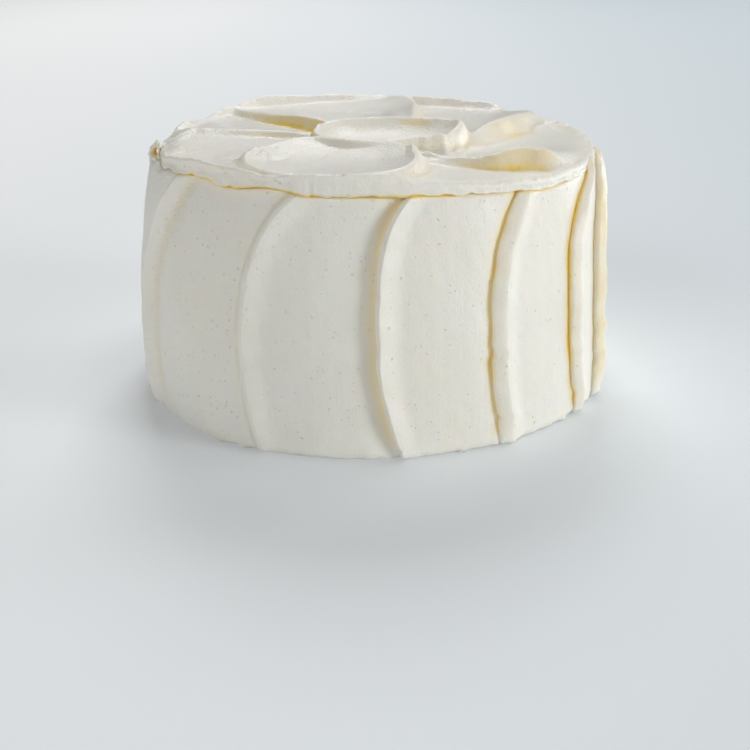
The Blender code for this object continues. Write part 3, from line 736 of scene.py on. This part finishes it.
def makeCurl():
    bpy.ops.object.select_all(action="DESELECT")
    bpy.ops.mesh.primitive_torus_add(major_segments=48, minor_segments=20, major_radius=leftCurl["ring"],
                                     minor_radius=leftCurl["thick"], rotation=(math.pi / 2, 0.0, 0.0))
    piece = freshMesh("buttercream_curl")
    bpy.ops.object.transform_apply(location=True, rotation=True, scale=True)
    x, y, z = readPoints(piece).T
    hole = smoothStep((leftCurl["ring"] - np.hypot(x, z)) / leftCurl["thick"])
    swell = 1.0 + 0.22 * lumps(x + y, z, 4.0, 71) + 0.10 * lumps(x, z + y, 1.6, 72)
    x = x * leftCurl["narrow"] * swell + 0.16 * z
    y, z = y * 1.5 * swell, z * (1.0 + 0.08 * lumps(x, y, 3.0, 73))
    turned = math.radians(leftCurl["turn"])
    placeX, placeY, placeZ = leftCurl["place"]
    writePoints(piece, placeX + x * math.cos(turned) - y * math.sin(turned),
                placeY + x * math.sin(turned) + y * math.cos(turned), placeZ + z)
    # painted shade in the hole of the curl
    keepAmount(piece, "paintedFoldShade", hole * 0.9)
    keepAmount(piece, "torn", np.full(len(x), 0.6))
    return piece


curlPiece = makeCurl()
print("curl on the rim made")


# Finish: shade, material, bodies

for piece in (sidePiece, topPiece, curlPiece):
    piece.data.shade_smooth()
    piece.data.materials.append(icing)
    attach(piece, "root")
    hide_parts(cakeNode)
print("pieces placed on the root body")


# Floor, light and camera

studio = {
    "floorSize": 12.0,
    "floorColour": (0.95, 0.955, 0.955, 1.0),
    # the floor is painted greyer and bluer towards the right, standing in for the light falling off there
    "floorPaintedShade": (0.61, 0.68, 0.72, 1.0),
    "floorGlow": 0.13,
    "sky": (0.86, 0.90, 1.0, 1.0), "skyStrength": 0.02,
    "lampDistance": 5.0,
    # name, degrees round from the front to the right, degrees up, size, power in watts, colour
    "lamps": [
        ("key_right", 65.0, 8.0, 1.6, 120.0, (1.0, 1.0, 1.0)),
        ("back_right", 120.0, 8.0, 1.6, 72.0, (1.0, 1.0, 1.0)),
        ("back", 180.0, 45.0, 2.2, 104.0, (1.0, 1.0, 1.0)),
        ("above_right", 90.0, 75.0, 2.2, 54.0, (1.0, 1.0, 1.0)),
        ("front_left", -30.0, 25.0, 2.2, 47.0, (1.0, 1.0, 1.0)),
        ("left", -60.0, 25.0, 2.2, 27.0, (1.0, 1.0, 1.0)),
    ],
    "aim": (0.0, 0.0, 0.07),
}
view = {     # the photograph's own view
    "place": (0.0006, -0.5622, 0.2142),
    "pitch": 68.6, "roll": -0.89,
    "lens": 55.97, "sensor": 36.0,
}


def makeFloor():
    bpy.ops.object.select_all(action="DESELECT")
    bpy.ops.mesh.primitive_plane_add(size=studio["floorSize"], location=(0.0, 0.0, -0.0004))
    floor = freshMesh("floor")
    paint = bpy.data.materials.new("pale_floor")
    paint.use_nodes = True
    shader = paint.node_tree.nodes["Principled BSDF"]
    place = addNode(paint.node_tree, "ShaderNodeTexCoord", -900, 300).outputs["Object"]
    split = addNode(paint.node_tree, "ShaderNodeSeparateXYZ", -700, 300)
    paint.node_tree.links.new(place, split.inputs[0])
    # painted shade: the floor darkens to grey-blue towards the right
    rightward = addRamp(paint.node_tree, -500, 300, split.outputs[0], -0.9, 0.9)
    colour = mixColours(paint.node_tree, -250, 300, rightward, studio["floorColour"], studio["floorPaintedShade"])
    paint.node_tree.links.new(colour, shader.inputs["Base Color"])
    shader.inputs["Roughness"].default_value = 0.7
    paint.node_tree.links.new(colour, shader.inputs["Emission Color"])
    shader.inputs["Emission Strength"].default_value = studio["floorGlow"]
    floor.data.materials.append(paint)


def makeLamps():
    for name, azimuth, elevation, size, power, colour in studio["lamps"]:
        turned, raised = math.radians(azimuth), math.radians(elevation)
        away = (math.sin(turned) * math.cos(raised), -math.cos(turned) * math.cos(raised), math.sin(raised))
        place = mathutils.Vector(studio["aim"]) + studio["lampDistance"] * mathutils.Vector(away)
        bpy.ops.object.light_add(type="AREA", location=place)
        lamp = bpy.context.active_object
        lamp.name = name
        lamp.data.energy, lamp.data.size, lamp.data.color = power, size, colour
        toCake = mathutils.Vector(studio["aim"]) - place
        lamp.rotation_euler = toCake.to_track_quat("-Z", "Y").to_euler()
    world = bpy.data.worlds.new("studio_sky")
    world.use_nodes = True
    backdrop = world.node_tree.nodes["Background"]
    backdrop.inputs["Color"].default_value = studio["sky"]
    backdrop.inputs["Strength"].default_value = studio["skyStrength"]
    bpy.context.scene.world = world


def makeCamera():
    bpy.ops.object.camera_add()
    camera = bpy.context.active_object
    camera.data.lens = view["lens"]
    camera.data.sensor_width = view["sensor"]
    pitched = mathutils.Matrix.Rotation(math.radians(view["pitch"]), 4, "X")
    rolled = mathutils.Matrix.Rotation(math.radians(view["roll"]), 4, "Z")
    camera.matrix_world = mathutils.Matrix.Translation(view["place"]) @ pitched @ rolled
    bpy.context.scene.camera = camera


makeFloor()
makeLamps()
makeCamera()
bpy.context.scene.view_settings.view_transform = "Standard"
print("floor, light and camera ready")
